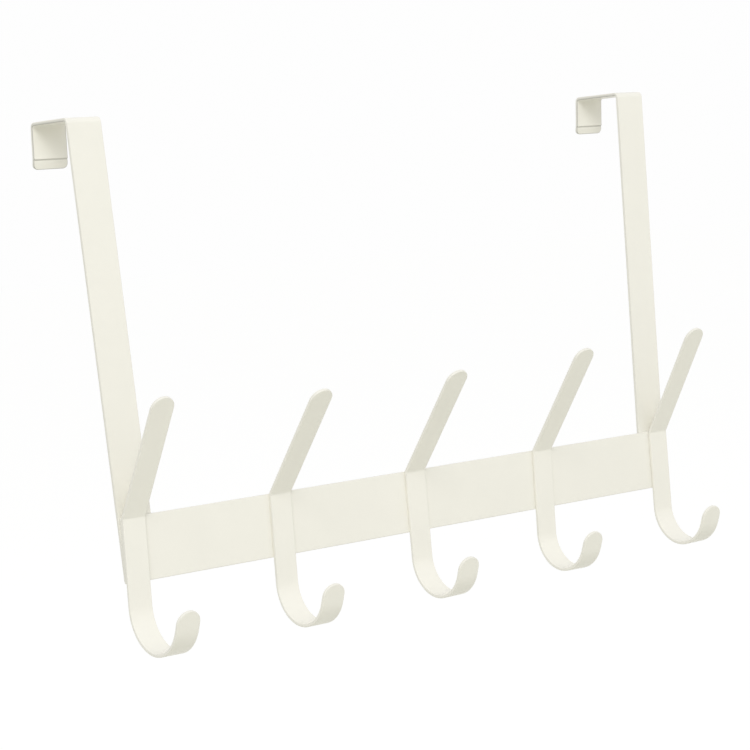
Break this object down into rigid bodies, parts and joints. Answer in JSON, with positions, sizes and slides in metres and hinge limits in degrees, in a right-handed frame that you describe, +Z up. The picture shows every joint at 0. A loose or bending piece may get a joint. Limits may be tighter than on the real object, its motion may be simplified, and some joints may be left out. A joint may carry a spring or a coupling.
{
  "type": "over-door coat rack",
  "caption": "Over-door coat rack: a flat steel rail on two strips that hook over a door, with double coat hooks along it.",
  "frame": {"origin": "front top edge of the door, midway between the two hangers", "axes": "+X along the rail to the viewer's right, -Y out of the door into the room, +Z up"},
  "size_m": [0.4652, 0.1065, 0.3213],
  "materials": {
    "coated_steel": "satin off-white powder coat"
  },
  "bodies": {
    "root": {"rail": "coated_steel", "hanger_left": "coated_steel", "hanger_right": "coated_steel", "hook_1": "coated_steel", "hook_2": "coated_steel", "hook_3": "coated_steel", "hook_4": "coated_steel", "hook_5": "coated_steel"}
  },
  "joints": []
}
